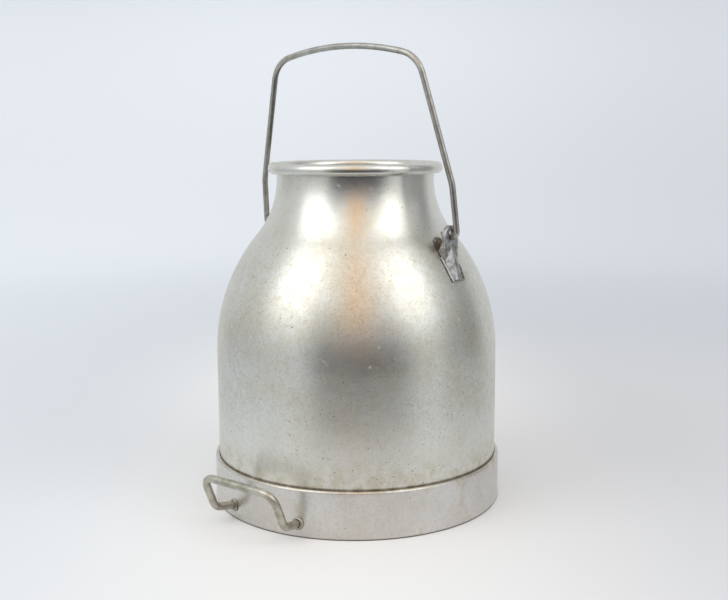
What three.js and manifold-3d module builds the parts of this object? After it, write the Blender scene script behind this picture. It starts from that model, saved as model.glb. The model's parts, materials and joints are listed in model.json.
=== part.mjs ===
// Stainless steel milk pail of a bucket milking machine, without its lid.
//
// Millimetres, +Z up. The pail stands on the floor at z = 0. The two bail ears lie on the X axis
// and the tipping handle points to -Y. The origin is at the middle of the footprint's box, so the
// pail's own axis stands AXIS_Y behind it.
import * as THREE from 'three';
import { mergeVertices } from 'three/addons/utils/BufferGeometryUtils.js';
import Module from 'manifold-3d';

const wasm = await Module();
wasm.setup();

// ---- driving dimensions ---------------------------------------------------------------------

const GAP = 0.3;              // clearance between pieces that touch on the real pail
const SIDES = 56;             // facets round the pail, a multiple of 4
const SHEET = 1.2;            // thickness of the drawn shells

const WALL_RADIUS = 146;      // outside of the pail's wall
const NECK_RADIUS = 80.5;     // outside of the neck
const SHOULDER_ARC = 185;     // radius of the convex shoulder
const NECK_ARC = 92.5;        // radius of the concave sweep into the neck
const NECK_Z = 335;           // where the neck becomes straight
const BOTTOM_Z = 14;          // underside of the pail's bottom
const BOTTOM_CORNER = 22;     // radius between wall and bottom
const BOTTOM_DISH = 4;        // rise of the bottom in its middle

const RIM_TOP = 349;
const RIM_LOW = 337.8;        // underside of the rolled rim
const RIM_RADIUS = 89.5;      // outside of the rolled rim
const RIM_BEND = 5.3;         // radius of the roll's top and bottom bends
const RIM_WIRE = 3.3;         // radius of the stiffening wire inside the roll

const SHELL_STEPS = 7;        // facets up each of the two arcs

const GIRTH_Z = 148;          // joint of the lower and upper shells
const GIRTH_WELD = 3;         // height of the weld between them

const RING_RADIUS = 150;      // outside of the foot ring
const RING_SHEET = 2;
const RING_TOP = 47.5;
const RING_BEND = 2.2;        // rounding of the ring's turned-in top edge
const RING_LIP = 1.5;         // thickness of the turned-in edge where it meets the wall
const RING_HAUNCH = 3.2;      // its thickness where it leaves the band

const BAIL_ROD = 3.2;         // rod radius
const PIVOT_X = 125.1;        // leg of the bail, and the hinge height
const PIVOT_Z = 278.6;
const BAIL_LEAN = THREE.MathUtils.degToRad(5.9);
const BAIL_KNEE = [122.4, 50.8];       // half width and height above the hinge
const BAIL_CORNER = [90.3, 173.7];
const BAIL_APEX = 194.4;               // where lines along the grip's two halves would meet
const BAIL_ARCH = 320;        // radius of the slightly arched grip

const EAR_TOP = 290;
const EAR_FOOT = 237.5;
const EAR_HALF = 11.2;        // half width at the widest
const EAR_FACE = 119;         // distance of the ear's upright face from the pail's axis
const EAR_PLATE = 4.5;        // thickness of the upright part

const HANDLE_ROD = 4;         // rod radius
const HANDLE_REACH = 31.5;    // the grip's distance from the ring
const HANDLE_GRIP_Z = 52.6;

const AXIS_Y = (HANDLE_REACH + HANDLE_ROD) / 2;

// ---- finishes -------------------------------------------------------------------------------

function steel(color, roughness) {
  return new THREE.MeshStandardMaterial({ color, roughness, metalness: 1 });
}

const satinSteel = steel(0xc4c4bd, 0.34);
const ringSteel = steel(0xbab9b1, 0.42);
const rodSteel = steel(0x9c9b93, 0.38);
const forgedSteel = steel(0x8f918d, 0.5);
const weldSteel = steel(0xa6a39a, 0.55);

// ---- geometry helpers -----------------------------------------------------------------------

// Points of a circular arc in the (radius, height) plane, ends included.
function arc(centreR, centreZ, radius, fromDegrees, toDegrees, steps) {
  const points = [];
  for (let i = 0; i <= steps; i += 1) {
    const angle = THREE.MathUtils.degToRad(fromDegrees + ((toDegrees - fromDegrees) * i) / steps);
    points.push(new THREE.Vector2(centreR + radius * Math.cos(angle), centreZ + radius * Math.sin(angle)));
  }
  return points;
}

function point(r, z) {
  return new THREE.Vector2(r, z);
}

// A solid turned about the pail's axis. The outline runs anticlockwise, seen with the axis on
// its left, and either closes on itself or starts and ends on the axis.
function turned(outline) {
  return new THREE.LatheGeometry(outline, SIDES).rotateX(Math.PI / 2);
}

function turnedRing(outline) {
  return turned([...outline, outline[0].clone()]);
}

function circle(radius, sides) {
  return new THREE.Shape(arc(0, 0, radius, 0, 360 - 360 / sides, sides - 1));
}

// Extrudes a shape drawn in (X, Z) evenly to both sides of y = 0.
function slabAcrossY(shape, halfWidth) {
  const geometry = new THREE.ExtrudeGeometry(shape, { depth: 2 * halfWidth, bevelEnabled: false });
  return geometry.translate(0, 0, -halfWidth).rotateX(Math.PI / 2);
}

// Extrudes a shape drawn in (Y, Z) along X.
function slabAlongX(shape, fromX, toX) {
  const geometry = new THREE.ExtrudeGeometry(shape, { depth: toX - fromX, bevelEnabled: false });
  const turn = new THREE.Matrix4().makeBasis(
    new THREE.Vector3(0, 1, 0),
    new THREE.Vector3(0, 0, 1),
    new THREE.Vector3(1, 0, 0),
  );
  return geometry.applyMatrix4(turn).translate(fromX, 0, 0);
}

function solid(geometry) {
  const bare = geometry.clone();
  bare.deleteAttribute('normal');
  bare.deleteAttribute('uv');
  const merged = mergeVertices(bare, 1e-4);
  return new wasm.Manifold(new wasm.Mesh({
    numProp: 3,
    vertProperties: Float32Array.from(merged.attributes.position.array),
    triVerts: Uint32Array.from(merged.index.array),
  }));
}

function geometryOf(manifold) {
  const mesh = manifold.getMesh();
  const geometry = new THREE.BufferGeometry();
  geometry.setAttribute('position', new THREE.BufferAttribute(mesh.vertProperties, 3));
  geometry.setIndex(new THREE.BufferAttribute(mesh.triVerts, 1));
  geometry.computeVertexNormals();
  return geometry;
}

// The centre line of a bent rod: straight runs between corners, each corner rounded by its bend
// radius. Its stations are the ends of the straights and even steps round each bend.
class BentRod extends THREE.Curve {
  constructor(corners, degreesPerStep) {
    super();
    this.stations = [corners[0].at.clone()];
    this.tangents = [corners[1].at.clone().sub(corners[0].at).normalize()];
    for (let i = 1; i < corners.length - 1; i += 1) {
      this.addBend(corners[i - 1].at, corners[i], corners[i + 1].at, degreesPerStep);
    }
    const last = corners[corners.length - 1].at;
    this.stations.push(last.clone());
    this.tangents.push(last.clone().sub(corners[corners.length - 2].at).normalize());
  }

  addBend(before, corner, after, degreesPerStep) {
    const arriving = corner.at.clone().sub(before).normalize();
    const leaving = after.clone().sub(corner.at).normalize();
    const turn = arriving.angleTo(leaving);
    const setback = corner.bend * Math.tan(turn / 2);
    const start = corner.at.clone().addScaledVector(arriving, -setback);
    const inward = leaving.clone().addScaledVector(arriving, -leaving.dot(arriving)).normalize();
    const centre = start.clone().addScaledVector(inward, corner.bend);
    // An even number of steps, so that one station stands at the middle of the bend.
    const steps = 2 * Math.ceil(THREE.MathUtils.radToDeg(turn) / (2 * degreesPerStep));
    for (let i = 0; i <= steps; i += 1) {
      const angle = (turn * i) / steps;
      const station = centre.clone()
        .addScaledVector(inward, -corner.bend * Math.cos(angle))
        .addScaledVector(arriving, corner.bend * Math.sin(angle));
      const tangent = arriving.clone()
        .multiplyScalar(Math.cos(angle))
        .addScaledVector(inward, Math.sin(angle));
      this.stations.push(station);
      this.tangents.push(tangent);
    }
  }

  // One extrusion step per station.
  getUtoTmapping(u) {
    return u;
  }

  getPoint(t) {
    return this.stations[Math.round(t * (this.stations.length - 1))].clone();
  }

  getTangent(t) {
    return this.tangents[Math.round(t * (this.tangents.length - 1))].clone();
  }
}

const ROD_SIDES = 12;

function rod(path, radius) {
  return new THREE.ExtrudeGeometry(circle(radius, ROD_SIDES), {
    steps: path.stations.length - 1,
    extrudePath: path,
  });
}

// ---- the pail's surface ---------------------------------------------------------------------

// The shoulder and neck arcs meet where both have the same slope.
const SWEEP = Math.acos(1 - (WALL_RADIUS - NECK_RADIUS) / (SHOULDER_ARC + NECK_ARC));
const SWEEP_DEGREES = THREE.MathUtils.radToDeg(SWEEP);
const SHOULDER_Z = NECK_Z - (SHOULDER_ARC + NECK_ARC) * Math.sin(SWEEP);

// Shoulder and neck, upwards, at a given distance outside the pail's outer surface.
function shoulder(outward, steps) {
  const convex = arc(WALL_RADIUS - SHOULDER_ARC, SHOULDER_Z, SHOULDER_ARC + outward, 0, SWEEP_DEGREES, steps);
  const concave = arc(NECK_RADIUS + NECK_ARC, NECK_Z, NECK_ARC - outward, 180 + SWEEP_DEGREES, 180, steps);
  return [...convex, ...concave.slice(1)];
}

// Underside of the pail from its middle out to the wall, at a given distance outside.
function bottom(outward) {
  const cornerCentre = WALL_RADIUS - BOTTOM_CORNER;
  const corner = arc(cornerCentre, BOTTOM_Z + BOTTOM_CORNER, BOTTOM_CORNER + outward, -90, 0, 4);
  const dish = [0, 0.25, 0.5, 0.75].map((part) => point(
    part * cornerCentre,
    BOTTOM_Z - outward + BOTTOM_DISH * (1 - part * part),
  ));
  return [...dish, ...corner];
}

// Everything inside the pail's outer surface, grown outwards. Fittings are cut back by it.
function pailEnvelope(outward) {
  return solid(turned([
    ...bottom(outward),
    ...shoulder(outward, SHELL_STEPS),
    point(NECK_RADIUS + outward, RIM_TOP),
    point(0, RIM_TOP),
  ]));
}

// Outer radius of the pail at a height on the shoulder's convex arc.
function shoulderRadius(z) {
  const rise = z - SHOULDER_Z;
  return WALL_RADIUS - SHOULDER_ARC + Math.sqrt(SHOULDER_ARC ** 2 - rise ** 2);
}

// ---- shells ---------------------------------------------------------------------------------

// Drawn cup: dished bottom, rounded corner and the wall up to the girth weld.
function lowerShell() {
  const top = GIRTH_Z - GIRTH_WELD / 2 - GAP;
  const inside = bottom(-SHEET).reverse();
  return turned([
    ...bottom(0),
    point(WALL_RADIUS, top),
    point(WALL_RADIUS - SHEET, top),
    ...inside,
  ]);
}

// The rolled rim's sheet from the neck over the top and round underneath, at one of its faces.
function rimRoll(bend) {
  const centre = RIM_RADIUS - RIM_BEND;
  const over = arc(centre, RIM_TOP - RIM_BEND, bend, 180, 0, 6);
  const under = arc(centre, RIM_LOW + RIM_BEND, bend, 0, -130, 4);
  return [...over, ...under];
}

// Wall above the girth weld, shoulder, neck and the open roll round the mouth.
function upperShell() {
  const start = GIRTH_Z + GIRTH_WELD / 2 + GAP;
  const outside = [
    point(WALL_RADIUS, start),
    ...shoulder(0, SHELL_STEPS),
    point(NECK_RADIUS, RIM_TOP - RIM_BEND),
    ...rimRoll(RIM_BEND - SHEET),
  ];
  const inside = [
    point(WALL_RADIUS - SHEET, start),
    ...shoulder(-SHEET, SHELL_STEPS),
    ...rimRoll(RIM_BEND),
  ];
  return turnedRing([...outside, ...inside.reverse()]);
}

// Ground flush inside and out.
function girthWeld() {
  const half = GIRTH_WELD / 2;
  return turnedRing([
    point(WALL_RADIUS - SHEET, GIRTH_Z - half),
    point(WALL_RADIUS, GIRTH_Z - half),
    point(WALL_RADIUS, GIRTH_Z + half),
    point(WALL_RADIUS - SHEET, GIRTH_Z + half),
  ]);
}

// Wire ring that the rim is rolled over.
function rimWire() {
  const height = (RIM_TOP + RIM_LOW) / 2;
  return turnedRing(arc(RIM_RADIUS - RIM_BEND, height, RIM_WIRE, 0, 300, 5));
}

// ---- foot -----------------------------------------------------------------------------------

const RING_INNER = RING_RADIUS - RING_SHEET;
const SEAM_HALF = 1.5;        // half width of the ring's butt weld

// Section of the foot ring: a straight band whose top edge is turned in to the wall.
function ringSection() {
  const lipEdge = WALL_RADIUS + 0.4;
  return [
    point(RING_INNER, 0),
    point(RING_RADIUS, 0),
    ...arc(RING_RADIUS - RING_BEND, RING_TOP - RING_BEND, RING_BEND, 0, 90, 4),
    point(lipEdge, RING_TOP),
    point(lipEdge, RING_TOP - RING_LIP),
    point(RING_INNER, RING_TOP - RING_HAUNCH),
  ];
}

// A radial block across the ring's section, at its back.
function seamBlock(halfWidth) {
  const over = 5;             // how far the block stands past the ring
  const shape = new THREE.Shape([
    point(-halfWidth, -over),
    point(halfWidth, -over),
    point(halfWidth, RING_TOP + over),
    point(-halfWidth, RING_TOP + over),
  ]);
  const block = slabAlongX(shape, WALL_RADIUS - over, RING_RADIUS + over);
  return solid(block.rotateZ(Math.PI / 2));
}

function footRing() {
  return geometryOf(solid(turnedRing(ringSection())).subtract(seamBlock(SEAM_HALF + GAP)));
}

// Butt weld that closes the band, dressed flush.
function footRingSeam() {
  return geometryOf(solid(turnedRing(ringSection())).intersect(seamBlock(SEAM_HALF)));
}

// Fillet between the inside of the ring and one facet of the pail's rounded bottom edge.
function footWeld() {
  const centreR = WALL_RADIUS - BOTTOM_CORNER;
  const [lowest, highest] = arc(centreR, BOTTOM_Z + BOTTOM_CORNER, BOTTOM_CORNER + GAP, -45, -22.5, 1);
  const face = RING_INNER - GAP;
  const leg = 1;              // how far the fillet runs down the ring below the pail
  return turnedRing([
    highest,
    lowest,
    point(face, lowest.y - leg),
    point(face, highest.y),
  ]);
}

// ---- bail ears ------------------------------------------------------------------------------

const SLOT_HALF = 4.1;        // half width of the slot for the bail's hook
const SLOT_LOW = PIVOT_Z - BAIL_ROD - GAP;
const SLOT_HIGH = 286.2;
const EAR_APEX_Z = 269.5;     // where the ear's ridge starts, under the slot
const EAR_FOOT_HALF = 9.5;
const EAR_WIDE_Z = 262;
const EAR_FOOT_X = shoulderRadius(EAR_FOOT) + 2.2;   // the foot's edge stands off the shoulder
const EAR_EDGE_STEP = 2.2;    // the ear's side edges lie this far behind its face
const RIDGE_TOP_HALF = 0.5;   // the ridge is a narrow flat that widens downwards
const RIDGE_FOOT_HALF = 3;
const CUT = 50;               // reach of the shapes the ear is cut with, well past its own size

// The forging's upright plate, before it is cut to the ear's outline.
function earPlate() {
  const back = EAR_FACE - EAR_PLATE;
  return solid(slabAcrossY(new THREE.Shape([
    point(back, EAR_FOOT),
    point(EAR_FACE, EAR_FOOT),
    point(EAR_FACE, EAR_TOP + 5),
    point(back, EAR_TOP + 5),
  ]), 2 * EAR_HALF));
}

// The wedge that carries the plate: its ridge runs from the plate's face down to a thin foot, and
// its back lies inside the shoulder. The ridge is drawn on into the plate.
function earWedge() {
  const depth = 12;
  const below = EAR_FOOT - 5;
  const overrun = 0.2;        // part of the ridge's length
  return solid(slabAcrossY(new THREE.Shape([
    point(EAR_FACE - depth, EAR_WIDE_Z - 2),
    point(EAR_FOOT_X - depth, below),
    point(EAR_FOOT_X, below),
    point(EAR_FOOT_X, EAR_FOOT),
    point(EAR_FACE - overrun * (EAR_FOOT_X - EAR_FACE), EAR_APEX_Z + overrun * (EAR_APEX_Z - EAR_FOOT)),
  ]), 2 * EAR_HALF));
}

// Front view in (y, z): round top, widest above the foot, square foot.
function earFront(grow) {
  const half = EAR_HALF + grow;
  const crown = arc(0, EAR_TOP - EAR_HALF, half, 0, 180, 12);
  return new THREE.Shape([
    point(-EAR_FOOT_HALF - grow, EAR_FOOT - grow),
    point(EAR_FOOT_HALF + grow, EAR_FOOT - grow),
    point(half, EAR_WIDE_Z),
    ...crown,
    point(-half, EAR_WIDE_Z),
  ]);
}

// Slot for the hook, taller than it is wide so that the hook can be threaded in.
function earSlot() {
  const lower = arc(0, SLOT_LOW + SLOT_HALF, SLOT_HALF, 180, 360, 8);
  const upper = arc(0, SLOT_HIGH - SLOT_HALF, SLOT_HALF, 0, 180, 8);
  return solid(slabAlongX(new THREE.Shape([...lower, ...upper]), EAR_FACE - CUT, EAR_FACE + CUT));
}

// Everything in front of the plane through the ridge and one side edge of the ear.
function earBevel(side) {
  const apex = new THREE.Vector3(EAR_FACE, side * RIDGE_TOP_HALF, EAR_APEX_Z);
  const ridgeFoot = new THREE.Vector3(EAR_FOOT_X, side * RIDGE_FOOT_HALF, EAR_FOOT);
  const edge = new THREE.Vector3(EAR_FACE - EAR_EDGE_STEP, side * EAR_HALF, EAR_WIDE_Z);
  const down = ridgeFoot.clone().sub(apex).normalize();
  const normal = down.clone().cross(edge.clone().sub(apex)).multiplyScalar(side).normalize();
  const width = down.clone().cross(normal);
  const block = new THREE.BoxGeometry(2 * CUT, 2 * CUT, CUT).translate(0, 0, CUT / 2);
  const turn = new THREE.Matrix4().makeBasis(width, down, width.clone().cross(down)).setPosition(apex);
  return solid(block.applyMatrix4(turn));
}

function ear(envelope) {
  const outline = solid(slabAlongX(earFront(0), EAR_FACE - CUT, EAR_FACE + CUT));
  const wedge = earWedge().subtract(earBevel(1)).subtract(earBevel(-1));
  return earPlate().add(wedge).intersect(outline).subtract(earSlot()).subtract(envelope);
}

// Weld bead down one side of the ear, under its foot and up the other side.
function earWeld(envelope) {
  const radius = 1.9;
  const off = 0.5;            // the bead's middle line lies this far outside the ear's outline
  const top = 259;
  const stepsPerRun = 8;
  const corners = [
    point(-EAR_HALF - off, top),
    point(-EAR_FOOT_HALF - off, EAR_FOOT - off),
    point(EAR_FOOT_HALF + off, EAR_FOOT - off),
    point(EAR_HALF + off, top),
  ];
  const onShoulder = ({ x: across, y: z }) => (
    new THREE.Vector3(Math.sqrt(shoulderRadius(z) ** 2 - across ** 2), across, z)
  );
  const route = [onShoulder(corners[0])];
  for (let run = 1; run < corners.length; run += 1) {
    for (let i = 1; i <= stepsPerRun; i += 1) {
      const along = corners[run - 1].clone().lerp(corners[run], i / stepsPerRun);
      route.push(onShoulder(along));
    }
  }
  const path = new THREE.CatmullRomCurve3(route, false, 'centripetal');
  const bead = new THREE.ExtrudeGeometry(circle(radius, 8), { steps: route.length, extrudePath: path });
  const forging = solid(slabAlongX(earFront(GAP), EAR_FACE - CUT, EAR_FACE + CUT));
  return solid(bead).subtract(envelope).subtract(forging);
}

// ---- bail -----------------------------------------------------------------------------------

// Half of the bail's centre line in its own plane, from the end of the hook behind the ear up to
// the grip: distances out from the middle and up from the hinge, and bend radii.
const HOOK_TAIL_X = 109.4;
const BAIL_HALF = [
  { x: HOOK_TAIL_X, up: 4.7 },
  { x: HOOK_TAIL_X, up: 0, bend: 4.6 },
  { x: PIVOT_X, up: 0, bend: 6 },
  { x: BAIL_KNEE[0], up: BAIL_KNEE[1], bend: 45 },
  { x: BAIL_CORNER[0], up: BAIL_CORNER[1], bend: 30 },
];

function bail() {
  const corner = (side) => ({ x, up, bend }) => ({ at: new THREE.Vector3(side * x, 0, up), bend });
  const left = BAIL_HALF.map(corner(-1));
  const right = BAIL_HALF.map(corner(1)).reverse();
  const apex = corner(1)({ x: 0, up: BAIL_APEX, bend: BAIL_ARCH });
  return rod(new BentRod([...left, apex, ...right], 10), BAIL_ROD);
}

// ---- tipping handle -------------------------------------------------------------------------

// Half of the handle's centre line: distances from its middle, out from the ring and up. The rod
// is drawn on into the ring, which cuts it off.
const HANDLE_FOOT = { x: 41, out: -12, z: 13 };
const HANDLE_KNEE = { x: 45.5, out: 16.5, z: 17, bend: 11 };
const HANDLE_END = { x: 45.5, out: HANDLE_REACH, z: HANDLE_GRIP_Z, bend: 14 };

function handleCorner(side, { x, out, z, bend }) {
  return { at: new THREE.Vector3(side * x, -RING_RADIUS - out, z), bend };
}

// Bent rod: both ends butt on the foot ring, the legs rise outwards to a straight grip.
function tippingHandle(ringSpace) {
  const half = [HANDLE_FOOT, HANDLE_KNEE, HANDLE_END];
  const left = half.map((corner) => handleCorner(-1, corner));
  const right = half.map((corner) => handleCorner(1, corner)).reverse();
  const path = new BentRod([...left, ...right], 12);
  return geometryOf(solid(rod(path, HANDLE_ROD)).subtract(ringSpace));
}

// Collar of weld round one end of the handle, drawn along +Y and turned onto the rod.
function handleWeld(side, ringSpace) {
  const inner = HANDLE_ROD + GAP;
  const outline = [
    point(inner, -8),
    point(inner + 2.4, -8),
    point(inner + 2.4, 0),
    point(inner + 1.5, 1.4),
    point(inner, 2.2),
    point(inner, -8),
  ];
  const start = handleCorner(side, HANDLE_FOOT).at;
  const direction = handleCorner(side, HANDLE_KNEE).at.sub(start).normalize();
  const ringFace = -Math.sqrt(RING_RADIUS ** 2 - start.x ** 2);
  const onRing = start.clone().addScaledVector(direction, (ringFace - start.y) / direction.y);
  const turn = new THREE.Quaternion().setFromUnitVectors(new THREE.Vector3(0, 1, 0), direction);
  const collar = new THREE.LatheGeometry(outline, 20).applyQuaternion(turn);
  return geometryOf(solid(collar.translate(...onRing.toArray())).subtract(ringSpace));
}

// ---- assembly -------------------------------------------------------------------------------

const pail = new THREE.Group();
pail.position.set(0, AXIS_Y, 0);

function add(name, geometry, material) {
  const mesh = new THREE.Mesh(geometry, material);
  mesh.name = name;
  pail.add(mesh);
  return mesh;
}

add('lower_shell', lowerShell(), satinSteel);
add('upper_shell', upperShell(), satinSteel);
add('girth_weld', girthWeld(), satinSteel);
add('rim_wire', rimWire(), rodSteel);
add('foot_ring', footRing(), ringSteel);
add('foot_ring_seam', footRingSeam(), ringSteel);
add('foot_weld', footWeld(), weldSteel);

const shellSpace = pailEnvelope(GAP);
for (const [name, angle] of [['right', 0], ['left', Math.PI]]) {
  add(`ear_${name}`, geometryOf(ear(shellSpace)), forgedSteel).rotation.z = angle;
  add(`ear_weld_${name}`, geometryOf(earWeld(shellSpace)), weldSteel).rotation.z = angle;
}

const bailMesh = add('bail', bail(), rodSteel);
bailMesh.position.z = PIVOT_Z;
bailMesh.rotation.x = BAIL_LEAN;

// Everything inside the foot ring's outer face. The tipping handle and its welds stop at it.
const ringSpace = solid(turned([
  point(0, 0),
  point(RING_RADIUS + GAP, 0),
  point(RING_RADIUS + GAP, RING_TOP),
  point(0, RING_TOP),
]));
add('tipping_handle', tippingHandle(ringSpace), rodSteel);
add('handle_weld_left', handleWeld(-1, ringSpace), weldSteel);
add('handle_weld_right', handleWeld(1, ringSpace), weldSteel);

export default pail;
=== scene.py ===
"""Stainless steel milk pail of a bucket milking machine: visual model, floor, light and camera.

Metres, +Z up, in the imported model's frame. The pail's axis is AXIS_Y behind the origin.
"""
import json
import math

import bpy
from mathutils import Matrix, Quaternion, Vector, noise


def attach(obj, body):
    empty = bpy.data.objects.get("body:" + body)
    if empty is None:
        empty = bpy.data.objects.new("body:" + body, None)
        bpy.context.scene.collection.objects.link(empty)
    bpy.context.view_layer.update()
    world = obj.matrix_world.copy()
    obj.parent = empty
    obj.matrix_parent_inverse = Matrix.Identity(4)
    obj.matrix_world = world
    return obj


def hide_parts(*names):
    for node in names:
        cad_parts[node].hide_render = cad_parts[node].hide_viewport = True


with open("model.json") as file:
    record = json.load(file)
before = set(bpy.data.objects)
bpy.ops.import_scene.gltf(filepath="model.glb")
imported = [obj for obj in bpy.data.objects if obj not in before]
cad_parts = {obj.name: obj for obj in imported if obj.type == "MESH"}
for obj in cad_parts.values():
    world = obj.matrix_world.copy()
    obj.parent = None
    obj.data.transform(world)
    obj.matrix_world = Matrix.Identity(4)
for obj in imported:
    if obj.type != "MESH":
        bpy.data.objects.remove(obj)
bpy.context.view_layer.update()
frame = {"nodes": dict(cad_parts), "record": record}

RECORD = frame["record"]
HINGE = next(joint for joint in RECORD["behaviour"]["joints"] if joint["name"] == "bail_hinge")

# ---- dimensions, the same as the CAD model's ------------------------------------------------

AXIS_Y = HINGE["pos_m"][1]
SHEET = 0.0012

WALL_RADIUS = 0.146
NECK_RADIUS = 0.0805
SHOULDER_ARC = 0.185
NECK_ARC = 0.0925
NECK_Z = 0.335
BOTTOM_Z = 0.014
BOTTOM_CORNER = 0.022
BOTTOM_DISH = 0.004

RIM_TOP = 0.349
RIM_LOW = 0.3378
RIM_RADIUS = 0.0895
RIM_BEND = 0.0053

GIRTH_Z = 0.148
GIRTH_WELD = 0.003

RING_RADIUS = 0.150
RING_SHEET = 0.002
RING_TOP = 0.0475
RING_BEND = 0.0022
RING_FOOT = 0.0008            # rounding of the ring's worn lower edge
RING_LIP_RADIUS = 0.1464      # inner edge of the turned-in top
RING_LIP = 0.0015             # thickness of the turned-in edge where it meets the wall
RING_HAUNCH = 0.0032          # its thickness where it leaves the band
SEAM_HALF = 0.0015            # half width of the ring's butt weld

SKIN = 0.00012                # the rods' surfaces stay this far inside the CAD's
BAIL_ROD = 0.0032
PIVOT_X = 0.1251
PIVOT_Z = HINGE["pos_m"][2]
BAIL_LEAN = math.radians(5.9)
BAIL_APEX = 0.1944            # where lines along the grip's two halves would meet
BAIL_ARCH = 0.320             # radius of the slightly arched grip
HOOK_TAIL_X = 0.1094

HANDLE_ROD = 0.004
HANDLE_GAP = 0.0003           # between the end of the handle and the ring

AXIS = Vector((0, AXIS_Y, 0))
SWEEP = math.acos(1 - (WALL_RADIUS - NECK_RADIUS) / (SHOULDER_ARC + NECK_ARC))
SHOULDER_Z = NECK_Z - (SHOULDER_ARC + NECK_ARC) * math.sin(SWEEP)

# ---- fineness of the meshes -----------------------------------------------------------------

ROUND_STEPS = 288             # facets round the pail
ROW = 0.003                   # distance between rows of faces up the pail
ARC_TURN = 9                  # most that an outline turns between two points, in degrees
BEND_TURN = 8                 # the same for a bent rod's centre line
SHARP = 35                    # edges that turn more than this stay sharp, in degrees


# ---- mesh helpers ---------------------------------------------------------------------------

def arc(centre_r, centre_z, radius, start, end, row=ROW):
    """Points of an arc in the (radius, height) plane, no more than row or ARC_TURN apart."""
    turn = math.radians(end - start)
    steps = max(2, math.ceil(abs(turn) * radius / row), math.ceil(abs(end - start) / ARC_TURN))
    angles = [math.radians(start) + turn * i / steps for i in range(steps + 1)]
    return [(centre_r + radius * math.cos(a), centre_z + radius * math.sin(a)) for a in angles]


def subdivided(outline, row=ROW):
    """The outline with extra points on its long straights."""
    points = [outline[0]]
    for (r0, z0), (r1, z1) in zip(outline, outline[1:]):
        steps = max(1, math.ceil(math.hypot(r1 - r0, z1 - z0) / row))
        for i in range(1, steps + 1):
            points.append((r0 + (r1 - r0) * i / steps, z0 + (z1 - z0) * i / steps))
    return points


def linked_object(name, data):
    piece = bpy.data.objects.new(name, data)
    bpy.context.scene.collection.objects.link(piece)
    return piece


def mesh_object(name, vertices, faces, sharp=SHARP):
    mesh = bpy.data.meshes.new(name)
    mesh.from_pydata(vertices, [], faces)
    mesh.validate()
    mesh.shade_smooth()
    mesh.set_sharp_from_angle(angle=math.radians(sharp))
    return linked_object(name, mesh)


def turned(name, outline, wave, opening=0.0):
    """A closed outline turned about the pail's axis.

    The outline runs anticlockwise with the axis on its left. Points on the axis become poles, and
    an outline that runs from pole to pole is closed by them. wave(radius, angle, z) gives how far
    a point is pushed in towards the axis. opening leaves a gap of that half angle at the back.
    """
    whole = opening == 0
    columns = ROUND_STEPS if whole else ROUND_STEPS + 1
    start = math.pi / 2 + opening
    span = 2 * math.pi - 2 * opening
    vertices = []
    rows = []
    for r, z in outline:
        if r < 1e-6:
            rows.append([len(vertices)] * columns)
            vertices.append((0, AXIS_Y, z))
            continue
        row = []
        for i in range(columns):
            angle = start + span * i / ROUND_STEPS
            reach = r - wave(r, angle, z)
            row.append(len(vertices))
            vertices.append((reach * math.cos(angle), AXIS_Y + reach * math.sin(angle), z))
        rows.append(row)
    if rows[0][0] != rows[0][-1] or rows[-1][0] != rows[-1][-1]:
        rows.append(rows[0])
    faces = []
    for low, high in zip(rows, rows[1:]):
        for i in range(ROUND_STEPS):
            j = (i + 1) % columns
            face = [low[i], low[j], high[j], high[i]]
            face = [v for k, v in enumerate(face) if v != face[k - 1]]
            faces.append(face)
    if not whole:
        faces.append([row[0] for row in rows[:-1]][::-1])
        faces.append([row[-1] for row in rows[:-1]])
    return mesh_object(name, vertices, faces)


def bent_path(corners, step):
    """Points along a bent rod's centre line, from corners of (point, bend radius)."""
    stations = []

    def straight(start, end):
        steps = max(1, math.ceil((end - start).length / step))
        for i in range(steps):
            stations.append(start.lerp(end, i / steps))

    last = corners[0][0]
    for (before, _), (at, bend), (after, _) in zip(corners, corners[1:], corners[2:]):
        arriving = (at - before).normalized()
        leaving = (after - at).normalized()
        turn = arriving.angle(leaving)
        start = at - arriving * bend * math.tan(turn / 2)
        inward = (leaving - arriving * leaving.dot(arriving)).normalized()
        centre = start + inward * bend
        straight(last, start)
        steps = max(3, math.ceil(turn * bend / step), math.ceil(math.degrees(turn) / BEND_TURN))
        for i in range(steps):
            angle = turn * i / steps
            back = inward * bend * math.cos(angle)
            stations.append(centre - back + arriving * bend * math.sin(angle))
        last = centre - inward * bend * math.cos(turn) + arriving * bend * math.sin(turn)
    straight(last, corners[-1][0])
    stations.append(corners[-1][0].copy())
    return stations


def swept(name, stations, radius, sides=24):
    """A round rod along a row of points, with its ends' edges taken off."""
    ends = 0.25 * radius
    tangents = []
    for i in range(len(stations)):
        before = stations[max(i - 1, 0)]
        after = stations[min(i + 1, len(stations) - 1)]
        tangents.append((after - before).normalized())
    side = tangents[0].orthogonal().normalized()
    rings = []
    for i, (centre, tangent) in enumerate(zip(stations, tangents)):
        side = (side - tangent * side.dot(tangent)).normalized()
        rings.append((centre, tangent, side.copy(), radius))
    first = rings[0]
    last = rings[-1]
    rings[0] = (first[0] + first[1] * ends, *first[1:])
    rings[-1] = (last[0] - last[1] * ends, *last[1:])
    rings.insert(0, (*first[:3], radius - ends))
    rings.append((*last[:3], radius - ends))
    vertices = []
    for centre, tangent, out, reach in rings:
        for k in range(sides):
            angle = 2 * math.pi * k / sides
            spoke = out * math.cos(angle) + tangent.cross(out) * math.sin(angle)
            vertices.append(centre + spoke * reach)
    faces = []
    for i in range(len(rings) - 1):
        for k in range(sides):
            j = (k + 1) % sides
            a = i * sides
            b = a + sides
            faces.append([a + k, a + j, b + j, b + k])
    faces.append(list(range(sides))[::-1])
    faces.append([len(vertices) - sides + k for k in range(sides)])
    return mesh_object(name, vertices, faces, sharp=50)


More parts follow.
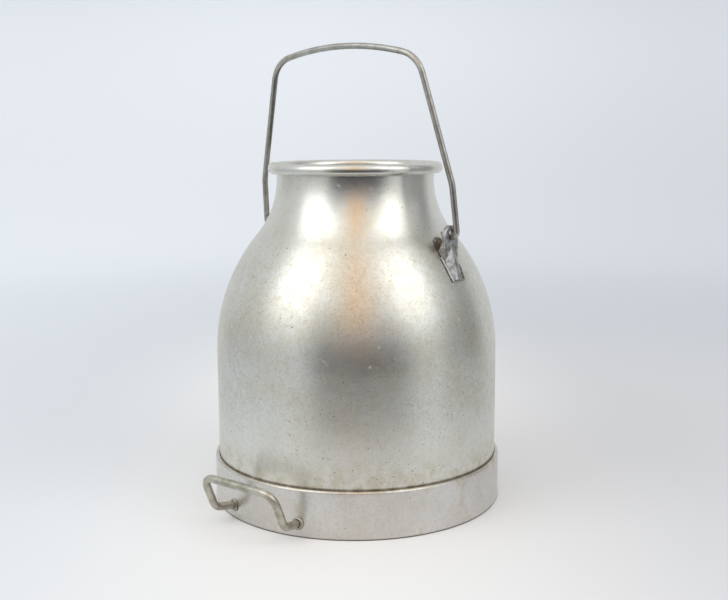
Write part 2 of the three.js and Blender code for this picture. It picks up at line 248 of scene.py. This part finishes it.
def remeshed_copy(name, node, voxel, smooth, displace):
    """A fine copy of a CAD node with rounded edges; displace(point) raises or sinks its skin."""
    mesh = frame["nodes"][node].data.copy()
    mesh.name = name
    mesh.materials.clear()
    piece = linked_object(name, mesh)
    remesh = piece.modifiers.new("fine", "REMESH")
    remesh.mode = "VOXEL"
    remesh.voxel_size = voxel
    relax = piece.modifiers.new("soft_edges", "SMOOTH")
    relax.factor = 0.5
    relax.iterations = smooth
    applied(piece)
    normals = [v.normal.copy() for v in piece.data.vertices]
    for vertex, normal in zip(piece.data.vertices, normals):
        vertex.co += normal * displace(vertex.co)
    piece.data.shade_smooth()
    return piece


def applied(piece):
    """Bakes the piece's modifiers into its mesh."""
    graph = bpy.context.evaluated_depsgraph_get()
    mesh = bpy.data.meshes.new_from_object(piece.evaluated_get(graph))
    mesh.name = piece.name
    old = piece.data
    piece.modifiers.clear()
    piece.data = mesh
    bpy.data.meshes.remove(old)


def place(piece, body, slot, material, *nodes):
    """Puts a finished piece into the model in place of CAD nodes."""
    piece.data.materials.append(material)
    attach(piece, body)
    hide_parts(*nodes)
    return piece


# ---- materials ------------------------------------------------------------------------------

class Finish:
    """A material under construction, with a short method for each kind of node it uses."""

    def __init__(self, name, metallic=1.0):
        self.material = bpy.data.materials.new(name)
        self.material.use_nodes = True
        self.tree = self.material.node_tree
        self.shader = self.tree.nodes["Principled BSDF"]
        self.shader.inputs["Metallic"].default_value = metallic
        self.place = self.node("ShaderNodeTexCoord").outputs["Object"]
        self.height = self.node("ShaderNodeSeparateXYZ", Vector=self.place).outputs["Z"]

    def node(self, kind, settings=None, **inputs):
        node = self.tree.nodes.new(kind)
        for key, value in (settings or {}).items():
            setattr(node, key, value)
        for key, value in inputs.items():
            self.feed(node.inputs[key.replace("_", " ")], value)
        return node

    def feed(self, socket, value):
        if isinstance(value, bpy.types.NodeSocket):
            self.tree.links.new(value, socket)
        else:
            socket.default_value = value

    def math(self, operation, a, b=0.0):
        node = self.node("ShaderNodeMath", {"operation": operation})
        self.feed(node.inputs[0], a)
        self.feed(node.inputs[1], b)
        return node.outputs[0]

    def product(self, *values):
        result = values[0]
        for value in values[1:]:
            result = self.math("MULTIPLY", result, value)
        return result

    def total(self, *values):
        result = values[0]
        for value in values[1:]:
            result = self.math("ADD", result, value)
        return result

    def ramp(self, value, low, high, to_low=0.0, to_high=1.0):
        """Eases from to_low where value is low to to_high where it is high, and holds outside."""
        node = self.node("ShaderNodeMapRange", {"interpolation_type": "SMOOTHSTEP"})
        for key, given in (("Value", value), ("From Min", low), ("From Max", high),
                           ("To Min", to_low), ("To Max", to_high)):
            self.feed(node.inputs[key], given)
        return node.outputs["Result"]

    def stretched(self, stretch):
        node = self.node("ShaderNodeVectorMath", {"operation": "MULTIPLY"})
        self.feed(node.inputs[0], self.place)
        node.inputs[1].default_value = stretch
        return node.outputs[0]

    def noise(self, size, detail=3.0, rough=0.55, stretch=(1, 1, 1)):
        """Noise with features of about size metres; stretch below 1 draws them out along an axis."""
        return self.node("ShaderNodeTexNoise", Vector=self.stretched(stretch), Scale=1 / size,
                         Detail=detail, Roughness=rough).outputs["Fac"]

    def measured(self, operation, vector, other):
        """DOT_PRODUCT or DISTANCE of two vectors."""
        node = self.node("ShaderNodeVectorMath", {"operation": operation})
        self.feed(node.inputs[0], vector)
        self.feed(node.inputs[1], other)
        return node.outputs["Value"]

    def beside(self, x, z, far, near):
        """1 within near metres of the two points at x and -x over the axis, easing to 0 at far."""
        right = self.measured("DISTANCE", self.place, (x, AXIS_Y, z))
        left = self.measured("DISTANCE", self.place, (-x, AXIS_Y, z))
        return self.ramp(self.math("MINIMUM", right, left), far, near)

    def spots(self, spacing, radius, share):
        """Round soft spots in a share of the cells of a random grid."""
        cells = self.node("ShaderNodeTexVoronoi", Vector=self.place, Scale=1 / spacing)
        inside = self.ramp(cells.outputs["Distance"], radius / spacing, 0.45 * radius / spacing)
        chosen = self.ramp(cells.outputs["Color"], share, 0.9 * share)
        return self.product(inside, chosen)

    def mix(self, factor, first, second):
        node = self.node("ShaderNodeMix", {"data_type": "RGBA"})
        self.feed(node.inputs[0], factor)
        self.feed(node.inputs[6], first)
        self.feed(node.inputs[7], second)
        return node.outputs[2]

    def bump(self, height, distance, strength=1.0):
        node = self.node("ShaderNodeBump", Height=height, Distance=distance, Strength=strength)
        self.feed(self.shader.inputs["Normal"], node.outputs["Normal"])

    def brushed_round(self, amount):
        """Reflections drawn out across brush lines that run round the axis."""
        tangent = self.node("ShaderNodeTangent", {"direction_type": "RADIAL", "axis": "Z"})
        self.feed(self.shader.inputs["Tangent"], tangent.outputs["Tangent"])
        self.shader.inputs["Anisotropic"].default_value = amount
        self.shader.inputs["Anisotropic Rotation"].default_value = 0.25

    def done(self, colour, roughness):
        self.feed(self.shader.inputs["Base Color"], colour)
        self.feed(self.shader.inputs["Roughness"], roughness)
        return self.material


def grey(value, warmth=0.0):
    """A neutral colour, or a warmer one as warmth grows."""
    return (value * (1 + warmth), value, value * (1 - 1.6 * warmth), 1)


def shell_finish():
    """Old satin stainless: spun brush lines, olive mottling, specks, water spots, soil and dirt with
    painted shade, painted light low down.
    """
    f = Finish("satin_shell")
    brush = f.noise(0.0006, 2, 0.5, (0.06, 0.06, 1))
    grain = f.noise(0.0022, 4, 0.7)
    mottle = f.noise(0.0055, 4, 0.65)
    cloud = f.noise(0.010, 5, 0.65)
    broad = f.noise(0.05, 4, 0.6)
    worn = f.ramp(f.height, 0.31, 0.25)            # the wall and shoulder are duller than the neck
    spots = f.math("MAXIMUM", f.spots(0.0045, 0.0011, 0.4), f.spots(0.009, 0.0021, 0.3))
    pits = f.math("MAXIMUM", f.spots(0.006, 0.0007, 0.22), f.spots(0.015, 0.0012, 0.25))
    by_ear = f.beside(0.110, 0.270, 0.045, 0.014)
    low = f.ramp(f.height, 0.17, 0.09)
    speckled = f.total(0.7, by_ear, f.product(low, 0.2))
    specks = f.product(
        f.math("MAXIMUM", f.spots(0.0030, 0.0008, 0.30), f.spots(0.0052, 0.0011, 0.25)),
        f.ramp(cloud, 0.40, 0.56),
        f.math("MINIMUM", speckled, 1.0),
    )
    # brown soil and painted shade in the gap behind each ear's plate
    ear_soil_and_shade = f.product(f.beside(0.107, 0.267, 0.0138, 0.0108), f.ramp(mottle, 0.30, 0.50))
    # dirt with painted shade over the ring, and the film, lie on the wall's outside, which is told
    # from its inside by the radius
    from_axis = f.measured("DISTANCE", f.stretched((1, 1, 0)), AXIS)
    outer_face = f.ramp(from_axis, WALL_RADIUS - 0.0011, WALL_RADIUS - 0.0006)
    film = f.product(outer_face, f.ramp(f.height, 0.085, 0.05), f.ramp(cloud, 0.35, 0.65))
    # a dark line just above the ring: dirt and painted shade in the gap where the ring meets the
    # wall
    over_ring = f.ramp(f.height, RING_TOP + 0.0025, RING_TOP + 0.0010)
    ring_gap_dirt_and_shade = f.product(outer_face, over_ring, f.ramp(cloud, 0.2, 0.7, 0.5, 1.0))

    colour = f.mix(f.ramp(broad, 0.35, 0.7), (0.70, 0.70, 0.665, 1), (0.645, 0.63, 0.56, 1))
    colour = f.mix(f.ramp(cloud, 0.45, 0.7, 0.0, 0.35), colour, (0.60, 0.56, 0.45, 1))
    colour = f.mix(f.product(f.ramp(mottle, 0.44, 0.68), worn, 0.26), colour, (0.48, 0.44, 0.33, 1))
    colour = f.mix(f.product(f.ramp(grain, 0.46, 0.66), worn, 0.36), colour, (0.40, 0.37, 0.28, 1))
    # painted light: the lower wall lightens towards the bottom, standing in for the bright table it
    # reflects
    colour = f.mix(f.ramp(f.height, 0.13, 0.08, 0.0, 0.35), colour, (0.86, 0.85, 0.80, 1))
    colour = f.mix(f.product(spots, 0.3), colour, grey(0.82))
    colour = f.mix(f.product(film, 0.45), colour, (0.50, 0.44, 0.28, 1))
    colour = f.mix(f.product(specks, 0.75), colour, (0.15, 0.11, 0.07, 1))
    # painted shade with soil: dark brown behind the ears
    colour = f.mix(f.product(ear_soil_and_shade, 0.85), colour, (0.12, 0.065, 0.04, 1))
    # dirt and painted shade darken the wall just above the ring
    colour = f.mix(f.product(ring_gap_dirt_and_shade, 0.8), colour, (0.14, 0.11, 0.07, 1))
    colour = f.mix(f.product(pits, 0.75), colour, (0.13, 0.1, 0.07, 1))

    roughness = f.total(
        0.16,
        f.product(worn, 0.05),
        f.product(cloud, 0.14),
        f.product(mottle, 0.08),
        f.product(grain, 0.08),
        f.product(spots, 0.12),
        f.product(ear_soil_and_shade, 0.3),
        f.product(ring_gap_dirt_and_shade, 0.3),
    )
    height = f.total(
        brush,
        f.product(grain, 1.2),
        f.product(mottle, 1.4),
        f.product(cloud, 1.2),
        f.product(spots, 0.4),
        f.product(pits, -2.0),
    )
    f.bump(height, 0.00003)
    f.brushed_round(0.35)
    return f.done(colour, roughness)


def ring_finish():
    """The foot ring: duller, with scuffs from the floor, brown water marks, a dirty top edge and
    painted contact shadow along its lower edge.
    """
    f = Finish("satin_ring")
    brush = f.noise(0.0007, 2, 0.5, (0.04, 0.04, 1))
    broad = f.noise(0.04, 4, 0.6)
    cloud = f.noise(0.01, 5, 0.65)
    grain = f.noise(0.0025, 4, 0.7)
    scratches = f.noise(0.004, 3, 0.6, (0.3, 0.3, 1))
    scuffs = f.product(f.ramp(scratches, 0.6, 0.75), f.ramp(f.height, 0.02, 0.0))
    stain = f.ramp(f.noise(0.018, 4, 0.6, (1, 1, 0.7)), 0.56, 0.72)
    pits = f.spots(0.009, 0.0009, 0.25)
    lip = f.product(f.ramp(f.height, RING_TOP - 0.0025, RING_TOP - 0.0001), f.ramp(cloud, 0.3, 0.62))
    # painted contact shadow: the lowest two millimetres of the ring darken where it stands on the
    # table
    foot = f.ramp(f.height, 0.0020, 0.0006)

    colour = f.mix(f.ramp(broad, 0.35, 0.7), grey(0.67, 0.015), grey(0.60, 0.04))
    colour = f.mix(f.ramp(grain, 0.46, 0.68, 0.0, 0.3), colour, (0.45, 0.41, 0.32, 1))
    colour = f.mix(f.product(stain, 0.4), colour, (0.55, 0.47, 0.31, 1))
    colour = f.mix(f.product(lip, 0.55), colour, (0.44, 0.37, 0.24, 1))
    colour = f.mix(f.product(pits, 0.6), colour, (0.16, 0.12, 0.08, 1))
    colour = f.mix(f.product(scuffs, 0.4), colour, grey(0.4, 0.03))
    # painted contact shadow along the ring's lower edge
    colour = f.mix(f.product(foot, 0.8), colour, (0.07, 0.06, 0.045, 1))

    roughness = f.total(
        0.25,
        f.product(cloud, 0.14),
        f.product(brush, 0.06),
        f.product(stain, 0.12),
        f.product(scuffs, 0.2),
        f.product(foot, 0.3),
    )
    f.bump(f.total(brush, cloud, grain, f.product(pits, -1.5), f.product(scuffs, -0.8)), 0.00003)
    f.brushed_round(0.35)
    return f.done(colour, roughness)


def rod_finish(name, clean, worn):
    """Drawn rod: a fine grain, duller patches and small nicks."""
    f = Finish(name)
    grain = f.noise(0.0012, 4, 0.6)
    patch = f.noise(0.012, 5, 0.7)
    nicks = f.math("MAXIMUM", f.spots(0.011, 0.0009, 0.3), f.spots(0.005, 0.0004, 0.25))
    colour = f.mix(f.ramp(patch, 0.38, 0.66), clean, worn)
    colour = f.mix(f.product(nicks, 0.6), colour, grey(0.16, 0.05))
    roughness = f.total(
        0.26,
        f.product(grain, 0.12),
        f.product(patch, 0.14),
        f.product(nicks, 0.15),
    )
    f.bump(f.total(grain, f.product(nicks, -2.0)), 0.00005)
    return f.done(colour, roughness)


def forged_finish():
    """The ears: a grey drop forging with darker patches, pits and rubbed edges."""
    f = Finish("forged_ear")
    skin = f.noise(0.0018, 6, 0.7)
    patch = f.noise(0.005, 4, 0.6)
    pits = f.spots(0.0032, 0.0006, 0.35)
    edge = f.ramp(f.node("ShaderNodeNewGeometry").outputs["Pointiness"], 0.5, 0.56)
    colour = f.mix(f.ramp(patch, 0.38, 0.62), grey(0.48, 0.0), grey(0.25, 0.02))
    colour = f.mix(f.product(pits, 0.7), colour, (0.1, 0.075, 0.055, 1))
    colour = f.mix(f.product(edge, 0.5), colour, grey(0.62))
    roughness = f.total(0.34, f.product(skin, 0.25), f.product(edge, -0.1))
    f.bump(f.total(skin, patch, f.product(pits, -1.2)), 0.00028)
    return f.done(colour, roughness)


def weld_finish():
    """Weld metal: a rough, dull grey skin and a few dark slag spots."""
    f = Finish("weld_bead")
    grain = f.noise(0.0009, 4, 0.65)
    patch = f.noise(0.006, 4, 0.6)
    colour = f.mix(f.ramp(patch, 0.35, 0.65), grey(0.52, 0.01), grey(0.36, 0.03))
    colour = f.mix(f.product(f.spots(0.003, 0.0006, 0.4), 0.6), colour, (0.14, 0.11, 0.08, 1))
    roughness = f.total(0.34, f.product(grain, 0.2))
    f.bump(grain, 0.00012)
    return f.done(colour, roughness)


SHELL = shell_finish()
RING = ring_finish()
ROD = rod_finish("bail_rod_steel", (0.47, 0.46, 0.43, 1), (0.34, 0.325, 0.28, 1))
HANDLE = rod_finish("handle_rod_steel", (0.52, 0.50, 0.435, 1), (0.33, 0.31, 0.245, 1))
FORGED = forged_finish()
WELD = weld_finish()


# ---- the shells -----------------------------------------------------------------------------

def hand_worn(r, angle, z):
    """Slight waviness of the old sheet: a push of up to half a millimetre towards the axis."""
    at = Vector((r * math.cos(angle), r * math.sin(angle), z))
    broad = noise.noise(at * 16) * 0.00022
    small = noise.noise(at * 42 + Vector((7, 3, 1))) * 0.00005
    calm = 0.338                                   # from here up, the rolled rim keeps its shape
    held = min(1, max(0, (calm - z) / 0.03))
    return max(0, (0.00024 + broad + small) * held)


def shoulder(outward):
    """Shoulder and neck, upwards, at a distance outside the pail's outer surface."""
    sweep = math.degrees(SWEEP)
    convex = arc(WALL_RADIUS - SHOULDER_ARC, SHOULDER_Z, SHOULDER_ARC + outward, 0, sweep)
    concave = arc(NECK_RADIUS + NECK_ARC, NECK_Z, NECK_ARC - outward, 180 + sweep, 180)
    return [*convex, *concave[1:]]


def bottom(outward):
    """Underside of the pail from its middle out to the wall."""
    centre = WALL_RADIUS - BOTTOM_CORNER
    dish = []
    steps = 12
    for i in range(steps):
        part = i / steps
        dish.append((part * centre, BOTTOM_Z - outward + BOTTOM_DISH * (1 - part * part)))
    return [*dish, *arc(centre, BOTTOM_Z + BOTTOM_CORNER, BOTTOM_CORNER + outward, -90, 0)]


def rim_roll(bend):
    """The open roll round the mouth, from the inside of the neck over its top and under."""
    centre = RIM_RADIUS - RIM_BEND
    over = arc(centre, RIM_TOP - RIM_BEND, bend, 180, 0)
    under = arc(centre, RIM_LOW + RIM_BEND, bend, 0, -130)
    return [*over, *under]


def lower_shell():
    top = GIRTH_Z - GIRTH_WELD / 2
    outside = subdivided([*bottom(0), (WALL_RADIUS, top)])
    inside = subdivided([*bottom(-SHEET), (WALL_RADIUS - SHEET, top)])
    return turned("lower_shell_skin", [*outside, *inside[::-1]], hand_worn)


def upper_shell():
    start = GIRTH_Z + GIRTH_WELD / 2
    outside = subdivided([
        (WALL_RADIUS, start),
        *shoulder(0),
        (NECK_RADIUS, RIM_TOP - RIM_BEND),
        *rim_roll(RIM_BEND - SHEET),
    ])
    inside = subdivided([
        (WALL_RADIUS - SHEET, start),
        *shoulder(-SHEET),
        *rim_roll(RIM_BEND),
    ])
    return turned("upper_shell_skin", [*outside, *inside[::-1]], hand_worn)


def girth_weld():
    """Ground flush: the band follows the waviness of the shells on both sides."""
    half = GIRTH_WELD / 2
    outline = subdivided([
        (WALL_RADIUS - SHEET, GIRTH_Z - half),
        (WALL_RADIUS, GIRTH_Z - half),
        (WALL_RADIUS, GIRTH_Z + half),
        (WALL_RADIUS - SHEET, GIRTH_Z + half),
    ], 0.0011)
    return turned("girth_weld_band", outline, hand_worn)


place(lower_shell(), "pail", "shell_steel", SHELL, "lower_shell")
place(upper_shell(), "pail", "shell_steel", SHELL, "upper_shell")
place(girth_weld(), "pail", "shell_steel", SHELL, "girth_weld")


# ---- the foot -------------------------------------------------------------------------------

def ring_section():
    inner = RING_RADIUS - RING_SHEET
    return subdivided([
        (inner, 0.0),
        *arc(RING_RADIUS - RING_FOOT, RING_FOOT, RING_FOOT, -90, 0, 0.0003),
        *arc(RING_RADIUS - RING_BEND, RING_TOP - RING_BEND, RING_BEND, 0, 90, 0.0004),
        (RING_LIP_RADIUS, RING_TOP),
        (RING_LIP_RADIUS, RING_TOP - RING_LIP),
        (inner, RING_TOP - RING_HAUNCH),
        (inner, 0.0),
    ], 0.004)[:-1]


def ring_worn(r, angle, z):
    """The ring is out of true by a few tenths, and keeps its flat lower edge."""
    at = Vector((math.cos(angle), math.sin(angle), z * 8))
    return max(0, 0.00012 + noise.noise(at * 2.3) * 0.00018)


def foot_ring():
    return turned("foot_ring_band", ring_section(), ring_worn, SEAM_HALF / RING_RADIUS)


place(foot_ring(), "pail", "ring_steel", RING, "foot_ring")


# ---- rods -----------------------------------------------------------------------------------

# Half of the bail in its own plane, from the end of the hook behind the ear up to the grip's corner:
# distance from the middle, height above the hinge, and bend radius.
BAIL_HALF = [
    (HOOK_TAIL_X, 0.0047, 0),
    (HOOK_TAIL_X, 0.0, 0.0046),
    (PIVOT_X, 0.0, 0.006),
    (0.1224, 0.0508, 0.045),
    (0.0903, 0.1737, 0.030),
]


def bail():
    left = [(Vector((-x, 0, up)), bend) for x, up, bend in BAIL_HALF]
    right = [(Vector((x, 0, up)), bend) for x, up, bend in BAIL_HALF[::-1]]
    grip = [(Vector((0, 0, BAIL_APEX)), BAIL_ARCH)]
    lean = Matrix.Translation((0, AXIS_Y, PIVOT_Z)) @ Matrix.Rotation(BAIL_LEAN, 4, "X")
    corners = [(lean @ at, bend) for at, bend in [*left, *grip, *right]]
    return swept("bail_rod", bent_path(corners, 0.003), BAIL_ROD - SKIN)


# Corners of the handle's right half: distance from the middle, distance out from the ring, height.
HANDLE_FOOT = (0.041, -0.012, 0.013)
HANDLE_KNEE = (0.0455, 0.0165, 0.017)
HANDLE_END = (0.0455, 0.0315, 0.0526)
KNEE_BEND = 0.011
END_BEND = 0.014


def handle_corner(x, out, z):
    return Vector((x, AXIS_Y - RING_RADIUS - out, z))


def tipping_handle():
    """Both legs point at a place inside the ring and stop just short of its face."""
    inside = handle_corner(*HANDLE_FOOT)
    knee = handle_corner(*HANDLE_KNEE)
    end = handle_corner(*HANDLE_END)
    ring_face = AXIS_Y - math.sqrt(RING_RADIUS ** 2 - inside.x ** 2) - HANDLE_GAP
    foot = inside.lerp(knee, (ring_face - inside.y) / (knee.y - inside.y))
    right = [(end, END_BEND), (knee, KNEE_BEND), (foot, 0)]
    left = [(Vector((-at.x, at.y, at.z)), bend) for at, bend in right[::-1]]
    return swept("tipping_handle_rod", bent_path([*left, *right], 0.002), HANDLE_ROD - SKIN)


place(bail(), "bail", "rod_steel", ROD, "bail")
place(tipping_handle(), "pail", "rod_steel", HANDLE, "tipping_handle")


# ---- ears and welds -------------------------------------------------------------------------

def forged_skin(at):
    return (noise.noise(at * 260) + 0.5 * noise.noise(at * 700)) * 0.00009 - 0.00004


def weld_skin(at):
    return (noise.noise(at * 420) + 0.4 * noise.noise(at * 900)) * 0.00016


# Fine copies for each side: new piece, CAD node, voxel, times smoothed, skin, slot and material.
REMESHED = [
    ("ear_{}_forging", "ear_{}", 0.0005, 4, forged_skin, "forged_steel", FORGED),
    ("ear_{}_bead", "ear_weld_{}", 0.0004, 3, weld_skin, "weld_steel", WELD),
    ("handle_{}_bead", "handle_weld_{}", 0.0004, 14, weld_skin, "weld_steel", HANDLE),
]

for side in ("right", "left"):
    for name, node, voxel, smooth, skin, slot, material in REMESHED:
        piece = remeshed_copy(name.format(side), node.format(side), voxel, smooth, skin)
        place(piece, "pail", slot, material, node.format(side))

# these keep their CAD shapes
for node, material in (("rim_wire", ROD), ("foot_weld", WELD), ("foot_ring_seam", RING)):
    for material_slot in frame["nodes"][node].material_slots:
        material_slot.material = material


# ---- studio ---------------------------------------------------------------------------------

VIEW = math.radians(38.5)                              # camera's azimuth round the pail
TO_CAMERA = Vector((math.sin(VIEW), -math.cos(VIEW), 0))
TO_RIGHT = Vector((math.cos(VIEW), math.sin(VIEW), 0))
UP = Vector((0, 0, 1))

CAMERA_LENS = 52.3
CAMERA_DISTANCE = 1.0944      # level distance from the pail's axis
CAMERA_HEIGHT = 0.3829
CAMERA_PITCH = math.radians(-9.22)
CAMERA_TURN = math.radians(-0.43)
CAMERA_ROLL = -0.0054         # in radians, as the other two are

AIM_HEIGHT = 0.2              # the soft lights point at the pail's axis at this height

TABLE_FRONT = 0.495           # the table's straight front edge, from the pail's axis
TABLE_RADIUS = 0.8
FLOOR_STEPS = 96              # facets round the table and the backdrop


def camera():
    data = bpy.data.cameras.new("camera")
    data.sensor_width = 36
    data.lens = CAMERA_LENS
    piece = linked_object("camera", data)
    piece.location = AXIS + TO_CAMERA * CAMERA_DISTANCE + UP * CAMERA_HEIGHT
    heading = Quaternion(UP, CAMERA_TURN) @ -TO_CAMERA
    level = heading.cross(UP)
    forward = Quaternion(level, CAMERA_PITCH) @ heading
    look = Matrix((level, level.cross(forward), -forward)).transposed().to_4x4()
    roll = Matrix.Rotation(CAMERA_ROLL, 4, "Z")
    piece.matrix_world = Matrix.Translation(piece.location) @ look @ roll
    bpy.context.scene.camera = piece


def softbox(name, azimuth, elevation, distance, size, radiance):
    """A soft light aimed at the pail; azimuth is from the camera's side, right positive."""
    a = math.radians(azimuth)
    e = math.radians(elevation)
    level = TO_CAMERA * math.cos(a) + TO_RIGHT * math.sin(a)
    out = level * math.cos(e) + UP * math.sin(e)
    data = bpy.data.lights.new(name, "AREA")
    data.shape = "RECTANGLE"
    data.size, data.size_y = size
    data.energy = radiance * math.pi * size[0] * size[1]
    piece = linked_object(name, data)
    piece.location = AXIS + UP * AIM_HEIGHT + out * distance
    piece.rotation_euler = out.to_track_quat("Z", "Y").to_euler()
    piece.visible_camera = False


# painted light and shade in the paper's colour: lightest round the pail, cool to the left, shaded
# grey to the right
TABLE_CENTRE = (0.85, 0.86, 0.87, 1)
TABLE_LEFT = (0.70, 0.75, 0.80, 1)
TABLE_RIGHT = (0.655, 0.67, 0.70, 1)
BACKDROP_LEFT = (0.785, 0.85, 0.915, 1)
BACKDROP_RIGHT = (0.60, 0.64, 0.695, 1)


def paper():
    """Matt paper with painted light and shade: whitest round the pail, bluish to its left and greyer
    to its right.

    The far paper glows a little, most of all up and behind the pail: painted light, as a lit
    backdrop gives.
    """
    f = Finish("white_paper", metallic=0.0)
    across = f.measured("DOT_PRODUCT", f.place, TO_RIGHT)
    outwards = f.measured("DISTANCE", f.place, AXIS)
    near = f.mix(f.ramp(across, -0.05, -0.42), TABLE_CENTRE, TABLE_LEFT)
    near = f.mix(f.ramp(across, 0.0, 0.42), near, TABLE_RIGHT)
    far = f.mix(f.ramp(across, -1.4, 1.4), BACKDROP_LEFT, BACKDROP_RIGHT)
    colour = f.mix(f.ramp(outwards, 0.45, 1.3), near, far)
    rise = f.total(f.ramp(outwards, 0.9, 2.9, 0.0, 0.20), f.ramp(f.height, 0.1, 0.8, 0.0, 0.17))
    level = f.product(f.ramp(across, -1.2, -0.1, 0.78, 1.0), f.ramp(across, 0.2, 1.4, 1.0, 0.80))
    f.feed(f.shader.inputs["Emission Strength"], f.product(rise, level))
    f.shader.inputs["Emission Color"].default_value = (0.90, 0.98, 1.05, 1)
    f.shader.inputs["Specular IOR Level"].default_value = 0.2
    return f.done(colour, 0.9)


DIRECTIONS = []
for i in range(FLOOR_STEPS):
    a = 2 * math.pi * i / FLOOR_STEPS
    DIRECTIONS.append(Vector((math.cos(a), math.sin(a), 0)))


def table_reach(out):
    """How far the table goes in a direction: it is round, with a straight side to the camera."""
    ahead = out.dot(TO_CAMERA)
    return min(TABLE_RADIUS, TABLE_FRONT / ahead) if ahead > 0.1 else TABLE_RADIUS


def table_top():
    vertices = [AXIS + out * table_reach(out) for out in DIRECTIONS]
    return mesh_object("table", vertices, [list(range(FLOOR_STEPS))])


def backdrop_sheet():
    """Paper that passes just under the table's and sweeps up to a wall all round."""
    below = -0.0005
    profile = [(0.3, below), *arc(1.9, 1.0 + below, 1.0, -90, 0, 0.05), (2.9, 3.5)]
    vertices = [AXIS + out * r + UP * z for r, z in profile for out in DIRECTIONS]
    faces = []
    for row in range(len(profile) - 1):
        low = row * FLOOR_STEPS
        high = low + FLOOR_STEPS
        for i in range(FLOOR_STEPS):
            j = (i + 1) % FLOOR_STEPS
            faces.append([low + i, low + j, high + j, high + i])
    return mesh_object("backdrop", vertices, faces)


def surroundings():
    table = table_top()
    backdrop = backdrop_sheet()
    white = paper()
    for piece in (table, backdrop):
        piece.data.materials.append(white)
    # the backdrop is only for the camera: in the steel, the room shows beyond the table's edge
    backdrop.visible_glossy = False
    backdrop.visible_diffuse = False
    backdrop.visible_shadow = False


# The room by direction, painted in order over ROOM_PALE: name, azimuth from the camera's side (right
# positive), elevation, softness of the edges (all in degrees), and light.
ROOM_PALE = (0.76, 0.78, 0.80, 1)
ROOM_PATCHES = [
    ("ceiling", (-85, 75), (48, 100), 12, (1.25, 1.24, 1.21, 1)),
    ("front_glow", (-50, 38), (30, 100), 12, (1.25, 1.24, 1.20, 1)),
    ("dim_front", (-38, 46), (-100, 14), 9, (0.04, 0.045, 0.06, 1)),
    ("warm_strip", (-11, 12), (18, 100), 8, (1.20, 0.77, 0.45, 1)),
    ("dim_side", (100, 120), (-25, 56), 9, (0.26, 0.26, 0.25, 1)),
    ("dim_low_right", (74, 108), (-25, 15), 9, (0.34, 0.35, 0.36, 1)),
    ("dim_low_left", (-130, -46), (-25, 3), 8, (0.55, 0.57, 0.60, 1)),
]


def room():
    """The room's light by direction, for the reflections in the steel and the soft fill."""
    world = bpy.data.worlds.new("room")
    bpy.context.scene.world = world
    world.use_nodes = True
    tree = world.node_tree
    direction = tree.nodes.new("ShaderNodeTexCoord").outputs["Generated"]

    def feed(socket, value):
        if isinstance(value, bpy.types.NodeSocket):
            tree.links.new(value, socket)
        else:
            socket.default_value = value

    def calculated(operation, a, b=0.0):
        node = tree.nodes.new("ShaderNodeMath")
        node.operation = operation
        feed(node.inputs[0], a)
        feed(node.inputs[1], b)
        return node.outputs[0]

    def along(axis):
        node = tree.nodes.new("ShaderNodeVectorMath")
        node.operation = "DOT_PRODUCT"
        feed(node.inputs[0], direction)
        node.inputs[1].default_value = axis
        return node.outputs["Value"]

    def eased(value, low, high):
        node = tree.nodes.new("ShaderNodeMapRange")
        node.interpolation_type = "SMOOTHSTEP"
        feed(node.inputs["Value"], value)
        node.inputs["From Min"].default_value = math.radians(low)
        node.inputs["From Max"].default_value = math.radians(high)
        return node.outputs["Result"]

    def window(value, limits, soft):
        """1 between the two limits, easing to 0 outside them."""
        rising = eased(value, limits[0] - soft, limits[0] + soft)
        falling = eased(value, limits[1] + soft, limits[1] - soft)
        return calculated("MULTIPLY", rising, falling)

    azimuth = calculated("ARCTAN2", along(TO_RIGHT), along(TO_CAMERA))
    elevation = calculated("ARCSINE", along(UP))
    colour = ROOM_PALE
    for _, sideways, upwards, soft, light in ROOM_PATCHES:
        across = window(azimuth, sideways, soft)
        inside = calculated("MULTIPLY", across, window(elevation, upwards, soft))
        node = tree.nodes.new("ShaderNodeMix")
        node.data_type = "RGBA"
        feed(node.inputs[0], inside)
        feed(node.inputs[6], colour)
        feed(node.inputs[7], light)
        colour = node.outputs[2]
    feed(tree.nodes["Background"].inputs["Color"], colour)


camera()
surroundings()
room()
softbox("softbox_left", azimuth=-59, elevation=37, distance=1.5, size=(0.98, 1.15), radiance=1.4)
softbox("softbox_right", azimuth=53, elevation=36, distance=1.5, size=(0.80, 1.08), radiance=1.45)
bpy.context.scene.view_settings.view_transform = "Standard"
